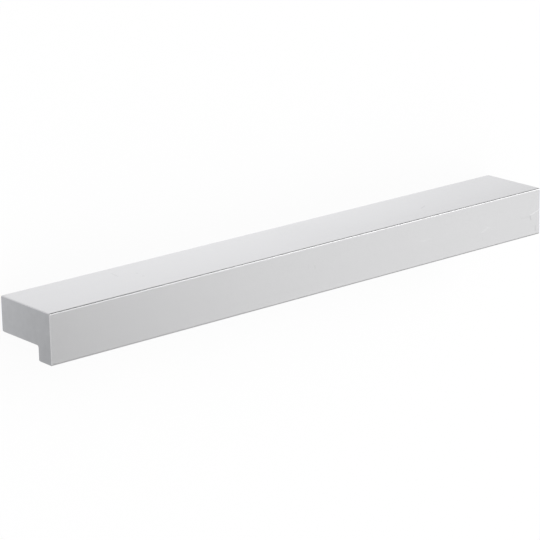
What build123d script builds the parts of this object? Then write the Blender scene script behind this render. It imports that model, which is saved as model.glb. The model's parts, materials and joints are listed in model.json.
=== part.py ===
from build123d import *
from math import radians, tan
import os

# Cabinet pull handle: one length of extruded aluminium bar, sawn off square, with two
# blind tapped holes in its back for the screws that come through the door.
#
# The bar lies on the face that goes against the door. +X runs along the bar, +Y points up
# the door once the handle is fixed, and +Z points out of the door. The origin is on the
# mounting face, midway between the two screw holes.

# Section of the bar, in millimetres
block_height = 9.5       # thickness of the solid block that stands off the door
lip_drop = 4.0           # how far the front lip hangs below the block, for the fingers
lip_thickness = 5.5      # thickness of the lip, front to back
grip_depth = 15.5        # depth of the finger recess, from the door to the back of the lip
edge_radius = 0.5        # rounding that the extrusion die leaves on the long outer edges
recess_radius = 0.5      # rounding inside the finger recess, where lip and block meet

# Length of the bar and its screw holes, in millimetres
hole_centres = 160.0     # a usual distance between the two screws of a handle
end_margin = 5.0         # from each screw hole's axis to the sawn end beside it
end_deburr = 0.2         # edge broken off all round each sawn end
thread_diameter = 4.0    # M4 machine screw, measured over its threads
hole_depth = 12.0        # depth of each tapped hole at its full width
drill_point_angle = 118  # degrees, included angle that the drill leaves at the bottom
mouth_width = 0.4        # width of the countersunk lead-in round each hole
mouth_angle = 90         # degrees, included angle of that lead-in

# What follows from those sizes
bar_length = hole_centres + 2 * end_margin
projection = grip_depth + lip_thickness
block_top = block_height / 2
block_underside = -block_height / 2
lip_tip = block_underside - lip_drop
hole_radius = thread_diameter / 2
drill_point_length = hole_radius / tan(radians(drill_point_angle / 2))

with BuildPart() as handle_bar:
    # The section is a block with a lip at its front, so (Y, Z) here is (up, out).
    # Its first five corners stick out, and the sixth is the inside of the finger recess.
    with BuildSketch(Plane.YZ):
        with BuildLine():
            FilletPolyline(
                (block_underside, 0),
                (block_top, 0),
                (block_top, projection),
                (lip_tip, projection),
                (lip_tip, grip_depth),
                (block_underside, grip_depth),
                radius=[edge_radius] * 5 + [recess_radius],
                close=True,
            )
        make_face()
    extrude(amount=bar_length / 2, both=True)

    sawn_ends = handle_bar.faces().filter_by(Axis.X)
    chamfer(sawn_ends.edges(), length=end_deburr)

    # Tapped holes, drilled into the mounting face from the door's side
    with Locations(-Plane.XY):
        with GridLocations(hole_centres, 0, 2, 1):
            CounterSinkHole(
                radius=hole_radius,
                counter_sink_radius=hole_radius + mouth_width,
                depth=hole_depth,
                counter_sink_angle=mouth_angle,
            )
    with Locations(Plane.XY.offset(hole_depth)):
        with GridLocations(hole_centres, 0, 2, 1):
            Cone(
                bottom_radius=hole_radius,
                top_radius=0,
                height=drill_point_length,
                align=(Align.CENTER, Align.CENTER, Align.MIN),
                mode=Mode.SUBTRACT,
            )

handle_bar.part.label = "handle_bar"

os.makedirs("parts", exist_ok=True)
export_step(handle_bar.part, "parts/handle_bar.step")
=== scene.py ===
"""Cabinet handle: a length of satin anodised aluminium bar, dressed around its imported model."""

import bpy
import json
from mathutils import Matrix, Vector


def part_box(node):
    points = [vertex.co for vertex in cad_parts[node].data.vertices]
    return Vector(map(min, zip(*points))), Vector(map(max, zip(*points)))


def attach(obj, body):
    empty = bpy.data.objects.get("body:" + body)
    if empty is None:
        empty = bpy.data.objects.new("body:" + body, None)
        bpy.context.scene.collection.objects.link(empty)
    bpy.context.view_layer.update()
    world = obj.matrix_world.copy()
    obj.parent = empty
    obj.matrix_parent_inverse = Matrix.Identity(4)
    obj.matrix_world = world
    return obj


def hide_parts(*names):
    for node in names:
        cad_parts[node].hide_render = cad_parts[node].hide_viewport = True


bl_info = {
    "name": "Cabinet Handle",
    "version": (1, 0, 0),
    "blender": (4, 5, 0),
    "location": "3D View > Sidebar > Handle",
    "description": "Builds a lipped aluminium bar handle with tapped screw holes, and its studio",
    "category": "Object",
}

import json
import math

import bpy
from mathutils import Matrix, Vector

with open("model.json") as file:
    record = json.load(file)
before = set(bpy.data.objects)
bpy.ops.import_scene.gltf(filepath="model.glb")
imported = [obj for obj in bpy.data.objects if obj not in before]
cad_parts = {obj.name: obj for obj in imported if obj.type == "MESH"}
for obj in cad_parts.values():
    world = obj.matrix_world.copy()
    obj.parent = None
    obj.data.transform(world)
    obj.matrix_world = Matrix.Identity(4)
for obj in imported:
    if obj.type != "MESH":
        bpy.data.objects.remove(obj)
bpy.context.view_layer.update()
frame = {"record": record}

# A millimetre in metres, which are Blender's unit here
MM = 0.001

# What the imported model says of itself: the bar's two far corners, and its screw holes' sizes
BAR_LOW, BAR_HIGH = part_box("handle_bar")
MOUNTS = {mount["name"]: mount for mount in frame["record"]["mounts"]}
HOLES = MOUNTS["screw_holes"]["dims"]

# The body of both pieces
BODY = "root"


def linear(hex_code):
    """An sRGB colour written as six hex digits, as linear red, green, blue and alpha."""
    channels = [int(hex_code[i:i + 2], 16) / 255 for i in (0, 2, 4)]
    return [c / 12.92 if c <= 0.04045 else ((c + 0.055) / 1.055) ** 2.4 for c in channels] + [1.0]


class HandleBarSizes(bpy.types.PropertyGroup):
    """Sizes of the extruded bar, as it lies on its back: X along it, Y up the door, Z out of it"""

    length: bpy.props.FloatProperty(
        name="Length", description="Length of the sawn bar, end to end",
        default=BAR_HIGH.x - BAR_LOW.x, min=0.02, unit="LENGTH", subtype="DISTANCE")
    block_height: bpy.props.FloatProperty(
        name="Block Height", description="Thickness of the block that stands off the door",
        default=2 * BAR_HIGH.y, min=0.004, unit="LENGTH", subtype="DISTANCE")
    lip_drop: bpy.props.FloatProperty(
        name="Lip Drop", description="How far the front lip hangs below the block",
        default=-BAR_HIGH.y - BAR_LOW.y, min=0.001, unit="LENGTH", subtype="DISTANCE")
    lip_thickness: bpy.props.FloatProperty(
        name="Lip Thickness", description="Thickness of the lip, front to back",
        default=5.5 * MM, min=0.001, unit="LENGTH", subtype="DISTANCE")
    projection: bpy.props.FloatProperty(
        name="Projection", description="From the mounting face to the front face",
        default=BAR_HIGH.z - BAR_LOW.z, min=0.004, unit="LENGTH", subtype="DISTANCE")
    edge_radius: bpy.props.FloatProperty(
        name="Edge Radius", description="Rounding of the long edges, as the die leaves them",
        default=0.5 * MM, min=0.0001, unit="LENGTH", subtype="DISTANCE")
    arc_points: bpy.props.IntProperty(
        name="Arc Points", description="Points along each rounded edge of the section",
        default=12, min=2, max=48)
    end_deburr: bpy.props.FloatProperty(
        name="End Deburr", description="Edge broken off all round each sawn end",
        default=0.2 * MM, min=0.00001, unit="LENGTH", subtype="DISTANCE")


class ScrewHoleSizes(bpy.types.PropertyGroup):
    """Sizes of the two blind tapped holes in the mounting face"""

    spacing: bpy.props.FloatProperty(
        name="Spacing", description="Distance between the axes of the two holes",
        default=HOLES["spacing_x_mm"] * MM, min=0.01, unit="LENGTH", subtype="DISTANCE")
    radius: bpy.props.FloatProperty(
        name="Radius", description="Half of the screw's diameter over its threads",
        default=HOLES["hole_r_mm"] * MM, min=0.0005, unit="LENGTH", subtype="DISTANCE")
    depth: bpy.props.FloatProperty(
        name="Depth", description="Depth of each hole at its full width",
        default=12 * MM, min=0.001, unit="LENGTH", subtype="DISTANCE")
    mouth_width: bpy.props.FloatProperty(
        name="Mouth Width", description="Width of the countersunk lead-in round each hole",
        default=0.4 * MM, min=0.00001, unit="LENGTH", subtype="DISTANCE")
    drill_point: bpy.props.FloatProperty(
        name="Drill Point", description="Included angle of the cone at the bottom of each hole",
        default=math.radians(118), min=0.5, max=3.1, unit="ROTATION", subtype="ANGLE")
    facets: bpy.props.IntProperty(
        name="Facets", description="Sides of the round wall of each hole",
        default=48, min=12, max=128)
    pitch: bpy.props.FloatProperty(
        name="Thread Pitch", description="Distance from one turn of the thread to the next",
        default=0.7 * MM, min=0.0002, unit="LENGTH", subtype="DISTANCE")
    turn_points: bpy.props.IntProperty(
        name="Turn Points", description="Points along each turn of the thread",
        default=32, min=8, max=96)


class FinishLooks(bpy.types.PropertyGroup):
    """Colours and surface of the matt clear anodised aluminium"""

    extruded: bpy.props.FloatVectorProperty(
        name="Extruded Faces",
        description="Colour of the long faces, as the die and the etch leave them",
        default=linear("E6E6E7"), size=4, min=0.0, max=1.0, subtype="COLOR")
    sawn: bpy.props.FloatVectorProperty(
        name="Sawn Ends", description="Colour of the two sawn ends, anodised with the rest",
        default=linear("C4C5C7"), size=4, min=0.0, max=1.0, subtype="COLOR")
    roughness: bpy.props.FloatProperty(
        name="Roughness", description="Roughness of the etched and anodised faces",
        default=0.33, min=0.0, max=1.0, subtype="FACTOR")
    grain: bpy.props.FloatProperty(
        name="Etch Grain", description="Size of the fine matt grain",
        default=0.15 * MM, min=0.00001, unit="LENGTH", subtype="DISTANCE")
    die_line: bpy.props.FloatProperty(
        name="Die Lines", description="Spacing of the faint lines that the die draws along the bar",
        default=0.4 * MM, min=0.00001, unit="LENGTH", subtype="DISTANCE")
    saw_line: bpy.props.FloatProperty(
        name="Saw Lines", description="Spacing of the fine lines that the saw leaves up each end",
        default=0.25 * MM, min=0.00001, unit="LENGTH", subtype="DISTANCE")
    clouding: bpy.props.FloatProperty(
        name="Clouding", description="Size of the soft lighter and darker patches on the sawn ends",
        default=2.0 * MM, min=0.00001, unit="LENGTH", subtype="DISTANCE")


class StudioSettings(bpy.types.PropertyGroup):
    """Camera, lamps, room and paper around the handle. Turns are measured round the bar from its
    right end, and heights above the floor"""

    yaw: bpy.props.FloatProperty(
        name="Yaw", description="Angle of the camera to the left of the front face",
        default=math.radians(39.7), unit="ROTATION", subtype="ANGLE")
    pitch: bpy.props.FloatProperty(
        name="Pitch", description="Angle of the camera above the front face",
        default=math.radians(16.78), unit="ROTATION", subtype="ANGLE")
    roll: bpy.props.FloatProperty(
        name="Roll", description="Turn of the camera about its own axis",
        default=math.radians(-1.13), unit="ROTATION", subtype="ANGLE")
    distance: bpy.props.FloatProperty(
        name="Distance", description="From the camera to the middle of the top front edge",
        default=651.7 * MM, min=0.1, unit="LENGTH", subtype="DISTANCE")
    aim_right: bpy.props.FloatProperty(
        name="Aim Right", description="How far right of that point the camera looks",
        default=-11.66 * MM, unit="LENGTH", subtype="DISTANCE")
    aim_up: bpy.props.FloatProperty(
        name="Aim Up", description="How far above that point the camera looks",
        default=-6.31 * MM, unit="LENGTH", subtype="DISTANCE")
    lens: bpy.props.FloatProperty(
        name="Lens", description="Focal length on a 36 mm wide sensor",
        default=165.2, min=20, max=400, unit="CAMERA")

    front_box: bpy.props.FloatProperty(
        name="Front Soft Box",
        description="Brightness of the soft box that the front face mirrors",
        default=0.934, min=0.0, max=10.0)
    front_turn: bpy.props.FloatProperty(
        name="Front Turn", description="Turn of the front soft box",
        default=math.radians(5.5), unit="ROTATION", subtype="ANGLE")
    front_height: bpy.props.FloatProperty(
        name="Front Height", description="Height of the front soft box",
        default=math.radians(35.2), unit="ROTATION", subtype="ANGLE")
    front_spread: bpy.props.FloatProperty(
        name="Front Spread",
        description="Half angle that the front soft box fills, seen from the bar",
        default=math.radians(34.2), unit="ROTATION", subtype="ANGLE")
    edge_box: bpy.props.FloatProperty(
        name="Edge Soft Box",
        description="Brightness of the soft box that the top front edge mirrors",
        default=1.49, min=0.0, max=10.0)
    edge_turn: bpy.props.FloatProperty(
        name="Edge Turn", description="Turn of the edge soft box",
        default=math.radians(38.7), unit="ROTATION", subtype="ANGLE")
    edge_height: bpy.props.FloatProperty(
        name="Edge Height", description="Height of the edge soft box",
        default=math.radians(37.0), unit="ROTATION", subtype="ANGLE")
    edge_spread: bpy.props.FloatProperty(
        name="Edge Spread",
        description="Half angle that the edge soft box fills, seen from the bar",
        default=math.radians(14.0), unit="ROTATION", subtype="ANGLE")

    room: bpy.props.FloatProperty(
        name="Room", description="Brightness of the room all round, as it lights the paper",
        default=0.8, min=0.0, max=2.0)
    mirrored_room: bpy.props.FloatProperty(
        name="Mirrored Room",
        description="Brightness of the room as the metal mirrors it, off its dark side",
        default=0.782, min=0.0, max=2.0)
    dark_turn: bpy.props.FloatProperty(
        name="Dark Turn", description="Turn of the middle of the room's dark side",
        default=math.radians(35.3), unit="ROTATION", subtype="ANGLE")
    dark_height: bpy.props.FloatProperty(
        name="Dark Height", description="Height of the middle of the room's dark side",
        default=math.radians(31.3), unit="ROTATION", subtype="ANGLE")
    dark_spread: bpy.props.FloatProperty(
        name="Dark Spread",
        description="Half angle that the dark side fills before it starts to fade",
        default=math.radians(44.4), unit="ROTATION", subtype="ANGLE")
    dark_reach: bpy.props.FloatProperty(
        name="Dark Reach",
        description="Angle from its middle at which the dark side has faded out",
        default=math.radians(80.2), unit="ROTATION", subtype="ANGLE")
    # This also sets the painted shade on the paper below the lip, as the bar mirrors it
    low_side: bpy.props.FloatProperty(
        name="Low Side", description="Brightness of the room and paper below the lip, as mirrored",
        default=0.6, min=0.0, max=1.0, subtype="FACTOR")
    # Sets the painted shadow on the paper past the bar's left end, as that end mirrors it
    left_painted_shadow: bpy.props.FloatProperty(
        name="Left Paper", description="Brightness of the paper mirrored in the left end",
        default=0.72, min=0.0, max=1.0, subtype="FACTOR")


def add_node(tree, kind, inputs=(), **settings):
    """Adds a node with its settings, and gives its inputs, by name or in order, values or links."""
    node = tree.nodes.new(kind)
    for name, value in settings.items():
        setattr(node, name, value)
    for key, value in inputs.items() if isinstance(inputs, dict) else enumerate(inputs):
        if isinstance(value, bpy.types.Node):
            value = value.outputs[0]
        if isinstance(value, bpy.types.NodeSocket):
            tree.links.new(value, node.inputs[key])
        else:
            node.inputs[key].default_value = value
    return node


def geometry_tree(name, sockets):
    """A Geometry Nodes tree with inputs of these names and types, what they give, and its end."""
    tree = bpy.data.node_groups.new(name, "GeometryNodeTree")
    tree.interface.new_socket("Geometry", in_out="OUTPUT", socket_type="NodeSocketGeometry")
    for label, kind in sockets.items():
        tree.interface.new_socket(label, in_out="INPUT", socket_type=kind)
    return tree, add_node(tree, "NodeGroupInput").outputs, add_node(tree, "NodeGroupOutput")


def made_mesh(name, tree, values, finish=()):
    """A new object whose plain mesh is what the tree makes of the values, given by input name."""
    blank = bpy.data.meshes.new(name + "_maker")
    maker = bpy.data.objects.new(name + "_maker", blank)
    bpy.context.scene.collection.objects.link(maker)
    modifier = maker.modifiers.new("Maker", "NODES")
    modifier.node_group = tree
    for item in tree.interface.items_tree:
        if item.in_out == "INPUT":
            modifier[item.identifier] = values[item.name]
    for kind, settings in finish:
        extra = maker.modifiers.new(kind.title(), kind)
        for key, value in settings.items():
            setattr(extra, key, value)
    depsgraph = bpy.context.evaluated_depsgraph_get()
    mesh = bpy.data.meshes.new_from_object(maker.evaluated_get(depsgraph))
    bpy.data.objects.remove(maker)
    bpy.data.meshes.remove(blank)
    mesh.name = name
    piece = bpy.data.objects.new(name, mesh)
    bpy.context.scene.collection.objects.link(piece)
    return piece


def outline_points(tree, corners):
    """A closed curve through the corners, each given as its two coordinates."""
    # Each point of a round curve moves to the corner of its own number
    ring = add_node(tree, "GeometryNodeCurvePrimitiveCircle", {
        "Resolution": len(corners)}, mode="RADIUS")
    chooser = add_node(tree, "GeometryNodeIndexSwitch", data_type="VECTOR")
    while len(chooser.index_switch_items) < len(corners):
        chooser.index_switch_items.new()
    tree.links.new(add_node(tree, "GeometryNodeInputIndex").outputs[0], chooser.inputs["Index"])
    for number, (across, along) in enumerate(corners):
        point = add_node(tree, "ShaderNodeCombineXYZ", {"X": across, "Y": along})
        tree.links.new(point.outputs[0], chooser.inputs[number + 1])
    return add_node(tree, "GeometryNodeSetPosition", {"Geometry": ring, "Position": chooser})


def at_both_holes(tree, spacing, shape):
    """The shape once in each screw hole, as real geometry."""
    first = add_node(tree, "ShaderNodeMath", (spacing, -0.5), operation="MULTIPLY")
    places = add_node(tree, "GeometryNodeMeshLine", {
        "Count": 2,
        "Start Location": add_node(tree, "ShaderNodeCombineXYZ", {"X": first}),
        "Offset": add_node(tree, "ShaderNodeCombineXYZ", {"X": spacing})}, mode="OFFSET")
    copies = add_node(tree, "GeometryNodeInstanceOnPoints", {"Points": places, "Instance": shape})
    return add_node(tree, "GeometryNodeRealizeInstances", {"Geometry": copies})


def finished_mesh(tree, geometry, material, sharp=math.radians(30)):
    """The geometry in its material, shaded smooth, with edges that turn by more than this crisp."""
    smooth = add_node(tree, "GeometryNodeSetShadeSmooth", {"Geometry": geometry}, domain="FACE")
    turn = add_node(tree, "GeometryNodeInputMeshEdgeAngle")
    is_sharp = add_node(tree, "ShaderNodeMath", (turn, sharp), operation="GREATER_THAN")
    crisp = add_node(tree, "GeometryNodeSetShadeSmooth", {
        "Geometry": smooth, "Selection": is_sharp, "Shade Smooth": False}, domain="EDGE")
    return add_node(tree, "GeometryNodeSetMaterial", {"Geometry": crisp, "Material": material})


def bar_tree():
    """The bar: its section with rounded corners, drawn out along X, deburred, and drilled."""
    tree, given, end = geometry_tree("Extruded bar", {
        "Length": "NodeSocketFloat",
        "Block Height": "NodeSocketFloat",
        "Lip Drop": "NodeSocketFloat",
        "Lip Thickness": "NodeSocketFloat",
        "Projection": "NodeSocketFloat",
        "Edge Radius": "NodeSocketFloat",
        "Arc Points": "NodeSocketInt",
        "End Deburr": "NodeSocketFloat",
        "Hole Spacing": "NodeSocketFloat",
        "Hole Radius": "NodeSocketFloat",
        "Hole Depth": "NodeSocketFloat",
        "Mouth Width": "NodeSocketFloat",
        "Drill Point": "NodeSocketFloat",
        "Hole Facets": "NodeSocketInt",
        "Material": "NodeSocketMaterial",
    })

    # The section, one corner after another, with X up the door and Y out of it
    top = add_node(tree, "ShaderNodeMath", (given["Block Height"], 0.5), operation="MULTIPLY")
    underside = add_node(tree, "ShaderNodeMath", (top, -1.0), operation="MULTIPLY")
    tip = add_node(tree, "ShaderNodeMath", (underside, given["Lip Drop"]), operation="SUBTRACT")
    front = given["Projection"]
    lip_back = add_node(tree, "ShaderNodeMath", (
        front, given["Lip Thickness"]), operation="SUBTRACT")
    outline = outline_points(tree, [
        (underside, 0.0), (top, 0.0), (top, front),
        (tip, front), (tip, lip_back), (underside, lip_back)])
    section = add_node(tree, "GeometryNodeFilletCurve", {
        "Curve": outline, "Radius": given["Edge Radius"],
        "Count": given["Arc Points"]}, mode="POLY")

    # The path has a point at each end and one a deburr's width in from it. Cut in three, its inner
    # points are nearer to the middle than most of the half length, which picks them out
    half = add_node(tree, "ShaderNodeMath", (given["Length"], 0.5), operation="MULTIPLY")
    minus_half = add_node(tree, "ShaderNodeMath", (half, -1.0), operation="MULTIPLY")
    line = add_node(tree, "GeometryNodeCurvePrimitiveLine", {
        "Start": add_node(tree, "ShaderNodeCombineXYZ", {"X": minus_half}),
        "End": add_node(tree, "ShaderNodeCombineXYZ", {"X": half})})
    cut = add_node(tree, "GeometryNodeSubdivideCurve", {"Curve": line, "Cuts": 2})
    place = add_node(tree, "GeometryNodeInputPosition")
    along = add_node(tree, "ShaderNodeSeparateXYZ", (place,)).outputs["X"]
    side = add_node(tree, "ShaderNodeMath", (along,), operation="SIGN")
    from_middle = add_node(tree, "ShaderNodeMath", (along,), operation="ABSOLUTE")
    inwards = add_node(tree, "ShaderNodeMath", (half, given["End Deburr"]), operation="SUBTRACT")
    inner_x = add_node(tree, "ShaderNodeMath", (side, inwards), operation="MULTIPLY")
    most = add_node(tree, "ShaderNodeMath", (half, 0.9), operation="MULTIPLY")
    is_inner = add_node(tree, "ShaderNodeMath", (from_middle, most), operation="LESS_THAN")
    path = add_node(tree, "GeometryNodeSetPosition", {
        "Geometry": cut, "Selection": is_inner,
        "Position": add_node(tree, "ShaderNodeCombineXYZ", {"X": inner_x})})
    drawn = add_node(tree, "GeometryNodeCurveToMesh", {
        "Curve": path, "Profile Curve": section, "Fill Caps": True})

    # Each end's outline steps in by the deburr, square to the faces that it meets
    facing = add_node(tree, "GeometryNodeInputNormal")
    normal = add_node(tree, "ShaderNodeSeparateXYZ", (facing,)).outputs
    sideways = add_node(tree, "ShaderNodeCombineXYZ", {"Y": normal["Y"], "Z": normal["Z"]})
    outwards = add_node(tree, "ShaderNodeVectorMath", (sideways,), operation="NORMALIZE")
    step = add_node(tree, "ShaderNodeMath", (given["End Deburr"], -1.0), operation="MULTIPLY")
    inset = add_node(tree, "ShaderNodeVectorMath", {0: outwards, "Scale": step}, operation="SCALE")
    half_step = add_node(tree, "ShaderNodeMath", (given["End Deburr"], 0.5), operation="MULTIPLY")
    nearly_out = add_node(tree, "ShaderNodeMath", (half, half_step), operation="SUBTRACT")
    at_end = add_node(tree, "ShaderNodeMath", (from_middle, nearly_out), operation="GREATER_THAN")
    deburred = add_node(tree, "GeometryNodeSetPosition", {
        "Geometry": drawn, "Selection": at_end, "Offset": inset})
    # A profile comes out turned half round the path, so this turns it back
    turned = add_node(tree, "GeometryNodeTransform", {
        "Geometry": deburred, "Rotation": (math.pi, 0, 0)})

    # Half the section of what the drill and the countersink take out, as distances from the hole's
    # axis and depths below the mounting face. It starts a mouth's width outside that face
    radius, mouth, depth = given["Hole Radius"], given["Mouth Width"], given["Hole Depth"]
    both_mouths = add_node(tree, "ShaderNodeMath", (mouth, 2.0), operation="MULTIPLY")
    wide = add_node(tree, "ShaderNodeMath", (radius, both_mouths), operation="ADD")
    outside = add_node(tree, "ShaderNodeMath", (mouth, -1.0), operation="MULTIPLY")
    half_angle = add_node(tree, "ShaderNodeMath", (given["Drill Point"], 0.5), operation="MULTIPLY")
    slope = add_node(tree, "ShaderNodeMath", (half_angle,), operation="TANGENT")
    cone = add_node(tree, "ShaderNodeMath", (radius, slope), operation="DIVIDE")
    point = add_node(tree, "ShaderNodeMath", (depth, cone), operation="ADD")
    drill_half = [(0.0, outside), (wide, outside), (radius, mouth), (radius, depth), (0.0, point)]
    # It is spun about Z along a circle of half the hole's radius, from which it is measured
    rim = add_node(tree, "ShaderNodeMath", (radius, 0.5), operation="MULTIPLY")
    corners = []
    for away, down in drill_half:
        from_rim = add_node(tree, "ShaderNodeMath", (away, rim), operation="SUBTRACT")
        level = add_node(tree, "ShaderNodeMath", (down, -1.0), operation="MULTIPLY")
        corners.append((from_rim, level))
    profile = add_node(tree, "GeometryNodeSetSplineCyclic", {
        "Geometry": outline_points(tree, corners), "Cyclic": False})
    circle = add_node(tree, "GeometryNodeCurvePrimitiveCircle", {
        "Resolution": given["Hole Facets"], "Radius": rim}, mode="RADIUS")
    upright = add_node(tree, "GeometryNodeSetCurveNormal", {"Curve": circle}, mode="Z_UP")
    spun = add_node(tree, "GeometryNodeCurveToMesh", {"Curve": upright, "Profile Curve": profile})
    # Each half section starts and ends on the axis, where all its copies meet in one point
    touching = 0.001 * MM
    closed = add_node(tree, "GeometryNodeMergeByDistance", {"Geometry": spun, "Distance": touching})
    # Spun this way its faces look inwards, and the cut needs them to look out
    drill = add_node(tree, "GeometryNodeFlipFaces", {"Mesh": closed})
    drilled = add_node(tree, "GeometryNodeMeshBoolean", {
        "Mesh 1": turned, "Mesh 2": at_both_holes(tree, given["Hole Spacing"], drill)},
        operation="DIFFERENCE", solver="EXACT")

    real = add_node(tree, "GeometryNodeRealizeInstances", {"Geometry": drilled})
    tree.links.new(finished_mesh(tree, real, given["Material"]).outputs[0], end.inputs[0])
    return tree


def thread_tree():
    """The threads of both holes: a ridge wound up each wall, its tip cut flat as taps leave it."""
    tree, given, end = geometry_tree("Screw threads", {
        "Pitch": "NodeSocketFloat",
        "Hole Spacing": "NodeSocketFloat",
        "Hole Radius": "NodeSocketFloat",
        "Start": "NodeSocketFloat",
        "Height": "NodeSocketFloat",
        "Turn Points": "NodeSocketInt",
        "Material": "NodeSocketMaterial",
    })
    radius, pitch = given["Hole Radius"], given["Pitch"]
    turns = add_node(tree, "ShaderNodeMath", (given["Height"], pitch), operation="DIVIDE")
    helix = add_node(tree, "GeometryNodeCurveSpiral", {
        "Resolution": given["Turn Points"], "Rotations": turns, "Start Radius": radius,
        "End Radius": radius, "Height": given["Height"], "Reverse": True})
    upright = add_node(tree, "GeometryNodeSetCurveNormal", {"Curve": helix}, mode="Z_UP")

    # The ridge thins out almost to nothing over a quarter turn at each end of the helix
    thinnest = 0.02
    along = add_node(tree, "GeometryNodeSplineParameter").outputs["Factor"]
    rest = add_node(tree, "ShaderNodeMath", (1.0, along), operation="SUBTRACT")
    from_end = add_node(tree, "ShaderNodeMath", (along, rest), operation="MINIMUM")
    quarters = add_node(tree, "ShaderNodeMath", (turns, 4.0), operation="MULTIPLY")
    growth = add_node(tree, "ShaderNodeMath", (from_end, quarters), operation="MULTIPLY")
    started = add_node(tree, "ShaderNodeMath", (thinnest, growth), operation="ADD")
    taper = add_node(tree, "ShaderNodeMath", (1.0, started), operation="MINIMUM")
    tapered = add_node(tree, "GeometryNodeSetCurveRadius", {"Curve": upright, "Radius": taper})

    # A metric thread's ridge, in pitches: how tall it is, and how wide at its foot and its tip
    tall, foot, tip = 0.541, 0.875, 0.25
    trapezoid = add_node(tree, "GeometryNodeCurvePrimitiveQuadrilateral", {
        "Height": add_node(tree, "ShaderNodeMath", (pitch, tall), operation="MULTIPLY"),
        "Bottom Width": add_node(tree, "ShaderNodeMath", (pitch, foot), operation="MULTIPLY"),
        "Top Width": add_node(tree, "ShaderNodeMath", (pitch, tip), operation="MULTIPLY"),
        "Offset": 0.0}, mode="TRAPEZOID")
    inwards = add_node(tree, "ShaderNodeMath", (pitch, -tall / 2), operation="MULTIPLY")
    ridge = add_node(tree, "GeometryNodeTransform", {
        "Geometry": trapezoid, "Rotation": (0, 0, math.pi / 2),
        "Translation": add_node(tree, "ShaderNodeCombineXYZ", {"X": inwards})})
    wound = add_node(tree, "GeometryNodeCurveToMesh", {
        "Curve": tapered, "Profile Curve": ridge, "Fill Caps": True, "Scale": taper})
    lift = add_node(tree, "ShaderNodeCombineXYZ", {"Z": given["Start"]})
    raised = add_node(tree, "GeometryNodeTransform", {"Geometry": wound, "Translation": lift})
    both = at_both_holes(tree, given["Hole Spacing"], raised)
    tree.links.new(finished_mesh(tree, both, given["Material"]).outputs[0], end.inputs[0])
    return tree


# Small marks that use has left: both ends and the width, in millimetres, and how much lighter or
# darker the metal is there
MARKS = (
    ((81.1, -2.5, 21.0), (84.7, -1.5, 21.0), 0.35, 0.11),
    ((81.0, -2.8, 21.0), (81.3, -3.9, 21.0), 0.4, -0.13),
    ((80.4, -2.9, 21.0), (77.5, -2.7, 21.0), 0.6, -0.03),
    ((83.2, -6.2, 21.0), (83.2, -7.3, 21.0), 0.6, -0.08),
    ((61.8, -3.8, 21.0), (64.1, -2.9, 21.0), 0.4, 0.05),
    ((63.1, -2.3, 21.0), (65.0, -3.1, 21.0), 0.4, 0.03),
    ((61.9, -4.8, 21.0), (62.1, -6.0, 21.0), 0.5, -0.02),
    ((38.5, -1.5, 21.0), (40.0, -1.8, 21.0), 0.5, 0.03),
    ((40.8, -1.5, 21.0), (42.4, -1.8, 21.0), 0.4, 0.02),
    ((0.1, -0.8, 21.0), (0.1, -1.4, 21.0), 0.4, -0.05),
    ((-2.1, 0.1, 21.0), (-2.1, -1.1, 21.0), 0.4, -0.02),
    ((46.0, 4.75, 13.3), (48.3, 4.75, 12.1), 0.4, -0.12),
    ((-53.8, 4.75, 4.2), (-54.2, 4.75, 7.2), 0.45, -0.08),
    ((-48.9, 4.75, 8.3), (-48.9, 4.75, 8.6), 0.5, -0.11),
    ((-49.2, 4.75, 11.4), (-49.2, 4.75, 11.6), 0.6, -0.09),
)


def mark_cover(tree, place, start, end, width):
    """How much of one mark, a soft-edged stroke between two points, covers each place."""
    start, end = Vector(start) * MM, Vector(end) * MM
    run = end - start
    from_start = add_node(tree, "ShaderNodeVectorMath", (place, start), operation="SUBTRACT")
    along = add_node(tree, "ShaderNodeVectorMath", (
        from_start, run / run.length_squared), operation="DOT_PRODUCT").outputs["Value"]
    past_start = add_node(tree, "ShaderNodeMath", (along, 0.0), operation="MAXIMUM")
    share = add_node(tree, "ShaderNodeMath", (past_start, 1.0), operation="MINIMUM")
    nearest = add_node(tree, "ShaderNodeVectorMath", {0: run, "Scale": share}, operation="SCALE")
    gap = add_node(tree, "ShaderNodeVectorMath", (from_start, nearest), operation="DISTANCE")
    # It fades from half of its half width to half as much again
    return add_node(tree, "ShaderNodeMapRange", {
        "Value": gap.outputs["Value"],
        "From Min": 0.25 * width * MM, "From Max": 0.75 * width * MM,
        "To Min": 1.0, "To Max": 0.0}, interpolation_type="SMOOTHSTEP")


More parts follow.
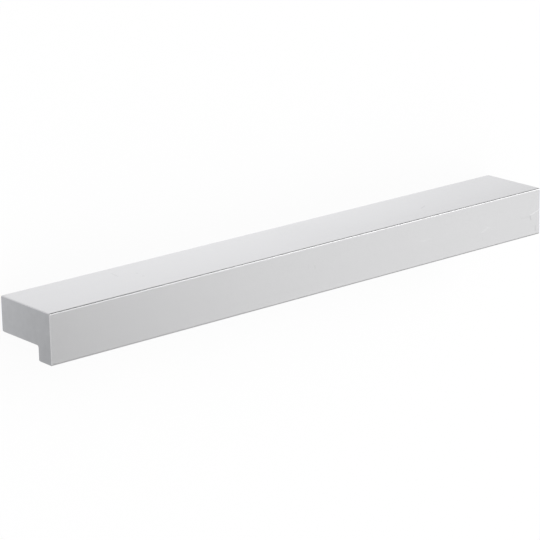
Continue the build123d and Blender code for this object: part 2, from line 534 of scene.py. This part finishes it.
def satin_aluminium(looks):
    """Extruded aluminium, etched matt and clear anodised: a pale, even, faintly cool silver with
    soft reflections, a trace of die lines along the bar, slightly darker, duller, cloudy sawn ends
    with fine saw lines, and a few small scuffs."""
    name = "Satin anodised aluminium"
    if name in bpy.data.materials:
        return bpy.data.materials[name]
    material = bpy.data.materials.new(name)
    material.use_nodes = True
    tree = material.node_tree
    tree.nodes.clear()
    coordinates = add_node(tree, "ShaderNodeTexCoord").outputs
    place = coordinates["Object"]

    def streaks(spacing, stretch):
        """Fine lines this far apart, drawn out where the stretch is small."""
        drawn_out = add_node(tree, "ShaderNodeMapping", {"Vector": place, "Scale": stretch})
        return add_node(tree, "ShaderNodeTexNoise", {
            "Vector": drawn_out, "Scale": 1 / spacing, "Detail": 2.0})

    # The ends are where the surface faces along the bar. Their deburred edges face half that way,
    # and look about a third sawn
    facing = add_node(tree, "ShaderNodeSeparateXYZ", (coordinates["Normal"],)).outputs["X"]
    is_end = add_node(tree, "ShaderNodeMapRange", {
        "Value": add_node(tree, "ShaderNodeMath", (facing,), operation="ABSOLUTE"),
        "From Min": 0.6, "From Max": 0.9})
    # A Mix node takes two numbers in its inputs 2 and 3, and two colours in 6 and 7
    colour = add_node(tree, "ShaderNodeMix", {
        "Factor": is_end, 6: tuple(looks.extruded), 7: tuple(looks.sawn)},
        data_type="RGBA").outputs[2]

    # Etched grain all over, die lines that run the length of the bar, and saw lines up its ends.
    # Real grain and lines are under a tenth of a millimetre, so these are drawn as coarse as they
    # need to show
    along_bar, up_ends = (0.004, 1, 1), (1, 0.02, 1)
    grain = add_node(tree, "ShaderNodeTexNoise", {
        "Vector": place, "Scale": 1 / looks.grain, "Detail": 2.0})
    die_lines = streaks(looks.die_line, along_bar)
    saw_lines = streaks(looks.saw_line, up_ends)
    lines = add_node(tree, "ShaderNodeMix", {"Factor": is_end, 2: die_lines, 3: saw_lines})

    # Clouding and saw lines on the sawn ends make the metal a little lighter or darker there.
    # Noise keeps mostly between 0.3 and 0.7
    clouds = add_node(tree, "ShaderNodeTexNoise", {
        "Vector": place, "Scale": 1 / looks.clouding, "Detail": 3.0})
    uneven = 0.0
    for pattern, most in ((clouds, 0.03), (lines, 0.02)):
        part = add_node(tree, "ShaderNodeMapRange", {
            "Value": pattern, "From Min": 0.3, "From Max": 0.7, "To Min": -most, "To Max": most})
        uneven = add_node(tree, "ShaderNodeMath", (uneven, part), operation="ADD")
    shade = add_node(tree, "ShaderNodeMath", (is_end, uneven), operation="MULTIPLY")

    # So do the marks, which are also pressed in, the deeper the more they show, and whose outlines
    # wander by a few tenths of a millimetre
    bend_length, bend_reach, press = 0.5 * MM, 0.6 * MM, 6
    wander = add_node(tree, "ShaderNodeTexNoise", {
        "Vector": place, "Scale": 1 / bend_length, "Detail": 2.0})
    centred = add_node(tree, "ShaderNodeVectorMath", (
        wander.outputs["Color"], (0.5, 0.5, 0.5)), operation="SUBTRACT")
    push = add_node(tree, "ShaderNodeVectorMath", {
        0: centred, "Scale": bend_reach}, operation="SCALE")
    pushed = add_node(tree, "ShaderNodeVectorMath", (push, place), operation="ADD")
    dents = 0.0
    for start, end, width, change in MARKS:
        cover = mark_cover(tree, pushed, start, end, width)
        changed = add_node(tree, "ShaderNodeMath", (cover, change), operation="MULTIPLY")
        shade = add_node(tree, "ShaderNodeMath", (shade, changed), operation="ADD")
        dent = add_node(tree, "ShaderNodeMath", (cover, press * abs(change)), operation="MULTIPLY")
        dents = add_node(tree, "ShaderNodeMath", (dents, dent), operation="MAXIMUM")
    brightness = add_node(tree, "ShaderNodeMath", (shade, 1.0), operation="ADD")
    shaded = add_node(tree, "ShaderNodeVectorMath", {
        0: colour, "Scale": brightness}, operation="SCALE")

    # Grain and lines stand out of the surface, in parts of the bump's distance, less the dents
    grain_height = add_node(tree, "ShaderNodeMath", (grain, 0.4), operation="MULTIPLY")
    line_height = add_node(tree, "ShaderNodeMath", (lines, 0.6), operation="MULTIPLY")
    texture = add_node(tree, "ShaderNodeMath", (grain_height, line_height), operation="ADD")
    relief = add_node(tree, "ShaderNodeMath", (texture, dents), operation="SUBTRACT")
    bump = add_node(tree, "ShaderNodeBump", {
        "Strength": 1.0, "Distance": 0.015 * MM, "Height": relief})

    # The lines scatter a little, and the ends more than the long faces
    scatter, end_scatter = 0.03, 0.04
    line_gloss = add_node(tree, "ShaderNodeMapRange", {
        "Value": lines, "To Min": looks.roughness - scatter, "To Max": looks.roughness + scatter})
    duller = add_node(tree, "ShaderNodeMath", (is_end, end_scatter), operation="MULTIPLY")
    roughness = add_node(tree, "ShaderNodeMath", (line_gloss, duller), operation="ADD")

    shader = add_node(tree, "ShaderNodeBsdfPrincipled", {
        "Base Color": shaded, "Metallic": 1.0, "Roughness": roughness, "Normal": bump})
    add_node(tree, "ShaderNodeOutputMaterial", {"Surface": shader})
    return material


def build_bar(scene):
    """The bar itself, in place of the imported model's own mesh."""
    bar, holes = scene.handle_bar, scene.handle_holes
    # Weighted normals keep the wide faces flat beside their roundings
    flat_faces = ("WEIGHTED_NORMAL", {"keep_sharp": True, "weight": 100})
    piece = made_mesh("satin_handle_bar", bar_tree(), {
        "Length": bar.length,
        "Block Height": bar.block_height,
        "Lip Drop": bar.lip_drop,
        "Lip Thickness": bar.lip_thickness,
        "Projection": bar.projection,
        "Edge Radius": bar.edge_radius,
        "Arc Points": bar.arc_points,
        "End Deburr": bar.end_deburr,
        "Hole Spacing": holes.spacing,
        "Hole Radius": holes.radius,
        "Hole Depth": holes.depth,
        "Mouth Width": holes.mouth_width,
        "Drill Point": holes.drill_point,
        "Hole Facets": holes.facets,
        "Material": satin_aluminium(scene.handle_finish),
    }, finish=[flat_faces])
    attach(piece, BODY)
    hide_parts("handle_bar")


def build_threads(scene):
    """The thread in each hole, from just inside its mouth to a pitch short of its full depth."""
    holes = scene.handle_holes
    piece = made_mesh("screw_hole_threads", thread_tree(), {
        "Pitch": holes.pitch,
        "Hole Spacing": holes.spacing,
        "Hole Radius": holes.radius,
        "Start": holes.mouth_width + holes.pitch / 2,
        "Height": holes.depth - holes.mouth_width - 2 * holes.pitch,
        "Turn Points": holes.turn_points,
        "Material": satin_aluminium(scene.handle_finish),
    })
    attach(piece, BODY)


def build_floor(scene):
    """Pale paper just under the bar, white to the camera but for the bar's faint shadow."""
    studio = scene.handle_studio
    far, low = 3.0, -0.05 * MM
    corners = [(-far, -far, low), (far, -far, low), (far, far, low), (-far, far, low)]
    mesh = bpy.data.meshes.new("studio_floor")
    mesh.from_pydata(corners, [], [(0, 1, 2, 3)])
    floor = bpy.data.objects.new("studio_floor", mesh)
    scene.collection.objects.link(floor)
    material = bpy.data.materials.new("White studio paper")
    material.use_nodes = True
    tree = material.node_tree
    tree.nodes.clear()

    # As the bar mirrors it, the paper has a painted pool of light, which starts a little left of
    # the bar's middle, fades slowly along the bar, and fades much faster away from its top face
    painted_pool_middle, painted_pool_reach, narrowing = -10 * MM, 440 * MM, 4.8
    painted_pool_light, painted_far_light = 1.04, 0.3
    place = add_node(tree, "ShaderNodeTexCoord").outputs["Object"]
    along, across, _ = add_node(tree, "ShaderNodeSeparateXYZ", (place,)).outputs
    top = scene.handle_bar.block_height / 2
    above = add_node(tree, "ShaderNodeMath", (across, top), operation="SUBTRACT")
    past_top = add_node(tree, "ShaderNodeMath", (above, 0.0), operation="MAXIMUM")
    narrowed = add_node(tree, "ShaderNodeMath", (past_top, narrowing), operation="MULTIPLY")
    from_middle = add_node(tree, "ShaderNodeMath", (along, -painted_pool_middle), operation="ADD")
    spot = add_node(tree, "ShaderNodeCombineXYZ", {"X": from_middle, "Y": narrowed})
    away = add_node(tree, "ShaderNodeVectorMath", (spot,), operation="LENGTH")
    strength = add_node(tree, "ShaderNodeMapRange", {
        "Value": away.outputs["Value"], "From Max": painted_pool_reach,
        "To Min": painted_pool_light, "To Max": painted_far_light}, interpolation_type="SMOOTHSTEP")

    # Painted shade dims it beside the top face and below the lip, and a painted shadow of the bar
    # dims it past the bar's left end, away from the lamps. Each row has a distance, where its
    # change starts and stops, and the light on both sides
    leftwards = add_node(tree, "ShaderNodeMath", (along, across), operation="ADD")
    for value, start, stop, first, last in (
        (across, 5 * MM, 20 * MM, 1.0, 0.955),
        (across, -45 * MM, -20 * MM, studio.low_side, 1.0),
        (leftwards, -81 * MM, -76 * MM, 0.87, 1.0),
        (leftwards, -130 * MM, -81 * MM, studio.left_painted_shadow, 1.0),
    ):
        part = add_node(tree, "ShaderNodeMapRange", {
            "Value": value, "From Min": start, "From Max": stop, "To Min": first, "To Max": last})
        strength = add_node(tree, "ShaderNodeMath", (strength, part), operation="MULTIPLY")

    # Mirrored or seen, nine tenths of the paper's light is its own. The rest shows light and shadow
    own = 0.9
    lit = add_node(tree, "ShaderNodeBsdfDiffuse", {"Color": linear("FDFDFD")})
    mirrored = add_node(tree, "ShaderNodeEmission", {
        "Color": linear("FEFEFF"), "Strength": strength})
    white = add_node(tree, "ShaderNodeEmission", {"Color": linear("FFFFFF"), "Strength": 1.0})
    rays = add_node(tree, "ShaderNodeLightPath").outputs
    in_metal = add_node(tree, "ShaderNodeMath", (rays["Is Glossy Ray"], own), operation="MULTIPLY")
    glossy = add_node(tree, "ShaderNodeMixShader", (in_metal, lit, mirrored))
    seen = add_node(tree, "ShaderNodeMath", (
        rays["Is Camera Ray"], rays["Is Transmission Ray"]), operation="MAXIMUM")
    in_view = add_node(tree, "ShaderNodeMath", (seen, own), operation="MULTIPLY")
    paper = add_node(tree, "ShaderNodeMixShader", (in_view, glossy, white))
    # From below the floor isn't there, so the mounting face can be looked at
    back = add_node(tree, "ShaderNodeNewGeometry").outputs["Backfacing"]
    whole = add_node(tree, "ShaderNodeMixShader", (
        back, paper, add_node(tree, "ShaderNodeBsdfTransparent")))
    add_node(tree, "ShaderNodeOutputMaterial", {"Surface": whole})
    mesh.materials.append(material)


def heading(turn, height):
    """The direction that is turned this far round the bar from its right end, and this high."""
    level = math.cos(height)
    return Vector((level * math.cos(turn), level * math.sin(turn), math.sin(height)))


def build_world(scene):
    """A plain pale room. What the metal mirrors of it has a dark side round the lamps, which draws
    the fine dark line along the rounded top front edge, and a dimmer side below the lip."""
    studio = scene.handle_studio
    world = bpy.data.worlds.new("Studio room")
    world.use_nodes = True
    tree = world.node_tree
    tree.nodes.clear()
    direction = add_node(tree, "ShaderNodeTexCoord").outputs["Generated"]

    def angle_from(axis):
        """The angle between the direction that is looked in and this one."""
        along = add_node(tree, "ShaderNodeVectorMath", (direction, axis), operation="DOT_PRODUCT")
        return add_node(tree, "ShaderNodeMath", (along.outputs["Value"],), operation="ARCCOSINE")

    dark = add_node(tree, "ShaderNodeMapRange", {
        "Value": angle_from(heading(studio.dark_turn, studio.dark_height)),
        "From Min": studio.dark_spread, "From Max": studio.dark_reach,
        "To Min": 0.0, "To Max": studio.mirrored_room}, interpolation_type="SMOOTHSTEP")
    low_middle = heading(math.radians(-50), math.radians(8))
    low_spread, low_reach = math.radians(28.6), math.radians(45.8)
    low = add_node(tree, "ShaderNodeMapRange", {
        "Value": angle_from(low_middle), "From Min": low_spread, "From Max": low_reach,
        "To Min": studio.low_side, "To Max": 1.0})
    mirrored = add_node(tree, "ShaderNodeMath", (dark, low), operation="MULTIPLY")
    rays = add_node(tree, "ShaderNodeLightPath").outputs
    strength = add_node(tree, "ShaderNodeMix", {
        "Factor": rays["Is Glossy Ray"], 2: studio.room, 3: mirrored})
    room = add_node(tree, "ShaderNodeBackground", {"Color": linear("FFFFFF"), "Strength": strength})
    white = add_node(tree, "ShaderNodeBackground", {"Color": linear("FFFFFF"), "Strength": 1.0})
    seen = add_node(tree, "ShaderNodeMath", (
        rays["Is Camera Ray"], rays["Is Transmission Ray"]), operation="MAXIMUM")
    mixed = add_node(tree, "ShaderNodeMixShader", (seen, room, white))
    add_node(tree, "ShaderNodeOutputWorld", {"Surface": mixed})
    scene.world = world


def build_soft_box(scene, name, turn, height, spread, radiance, distance=1.5):
    """A round soft box of this brightness, which fills a cone of this half angle from the bar."""
    data = bpy.data.lights.new(name, "AREA")
    data.shape = "DISK"
    data.size = 2 * distance * math.tan(spread)
    # A flat lamp's power is the brightness that it shows, times its area, times pi
    area = math.pi * (data.size / 2) ** 2
    data.energy = radiance * math.pi * area
    lamp = bpy.data.objects.new(name, data)
    scene.collection.objects.link(lamp)
    towards = heading(turn, height)
    facing = towards.to_track_quat("Z", "Y").to_matrix().to_4x4()
    lamp.matrix_world = Matrix.Translation(towards * distance) @ facing
    lamp.visible_camera = False


def build_camera(scene):
    """The photo's view: from the left and a little above, lip down as the bar hangs on a door."""
    studio, bar = scene.handle_studio, scene.handle_bar
    # The camera's own axes: back out of its picture, and right and up in it
    back = Vector((-math.sin(studio.yaw) * math.cos(studio.pitch), math.sin(studio.pitch),
                   math.cos(studio.yaw) * math.cos(studio.pitch)))
    level = Vector((0, 1, 0)).cross(back).normalized()
    upright = back.cross(level)
    right = level * math.cos(studio.roll) + upright * math.sin(studio.roll)
    up = back.cross(right)
    edge_middle = Vector((0, bar.block_height / 2, bar.projection))
    aim = edge_middle + right * studio.aim_right + up * studio.aim_up
    data = bpy.data.cameras.new("Photo camera")
    data.sensor_width = 36
    data.lens = studio.lens
    data.clip_start = 0.01
    data.clip_end = 20
    camera = bpy.data.objects.new("Photo camera", data)
    scene.collection.objects.link(camera)
    turn = Matrix((right, up, back)).transposed().to_4x4()
    camera.matrix_world = Matrix.Translation(aim + back * studio.distance) @ turn
    scene.camera = camera


class HANDLE_OT_bar(bpy.types.Operator):
    """Builds the extruded, sawn and drilled bar"""

    bl_idname = "handle.bar"
    bl_label = "Handle Bar"

    def execute(self, context):
        build_bar(context.scene)
        return {"FINISHED"}


class HANDLE_OT_threads(bpy.types.Operator):
    """Builds the screw threads in both holes"""

    bl_idname = "handle.threads"
    bl_label = "Screw Threads"

    def execute(self, context):
        build_threads(context.scene)
        return {"FINISHED"}


class HANDLE_OT_studio(bpy.types.Operator):
    """Builds the camera, floor, room and lamps"""

    bl_idname = "handle.studio"
    bl_label = "Studio"

    def execute(self, context):
        scene = context.scene
        studio = scene.handle_studio
        build_camera(scene)
        build_floor(scene)
        build_world(scene)
        build_soft_box(scene, "Front soft box", studio.front_turn, studio.front_height,
                       studio.front_spread, studio.front_box)
        build_soft_box(scene, "Edge soft box", studio.edge_turn, studio.edge_height,
                       studio.edge_spread, studio.edge_box)
        scene.view_settings.view_transform = "Standard"
        return {"FINISHED"}


class HANDLE_PT_panel(bpy.types.Panel):
    """Sizes, finish and studio of the cabinet handle"""

    bl_idname = "HANDLE_PT_panel"
    bl_label = "Cabinet Handle"
    bl_space_type = "VIEW_3D"
    bl_region_type = "UI"
    bl_category = "Handle"

    def draw(self, context):
        scene = context.scene
        for operator, groups in (
            (HANDLE_OT_bar, (scene.handle_bar, scene.handle_finish)),
            (HANDLE_OT_threads, (scene.handle_holes,)),
            (HANDLE_OT_studio, (scene.handle_studio,)),
        ):
            box = self.layout.box()
            box.operator(operator.bl_idname)
            for group in groups:
                for name in group.__annotations__:
                    box.prop(group, name)


SETTINGS = {
    "handle_bar": HandleBarSizes,
    "handle_holes": ScrewHoleSizes,
    "handle_finish": FinishLooks,
    "handle_studio": StudioSettings,
}
CLASSES = (*SETTINGS.values(), HANDLE_OT_bar, HANDLE_OT_threads, HANDLE_OT_studio, HANDLE_PT_panel)


def register():
    """Adds the classes to Blender, and the settings to its scenes."""
    for cls in CLASSES:
        bpy.utils.register_class(cls)
    for name, group in SETTINGS.items():
        setattr(bpy.types.Scene, name, bpy.props.PointerProperty(type=group))


def unregister():
    """Takes the settings and the classes out again."""
    for name in SETTINGS:
        delattr(bpy.types.Scene, name)
    for cls in reversed(CLASSES):
        bpy.utils.unregister_class(cls)


def main():
    """Builds the bar, its threads and the studio."""
    register()
    bpy.ops.handle.bar()
    bpy.ops.handle.threads()
    bpy.ops.handle.studio()


if __name__ == "__main__":
    main()
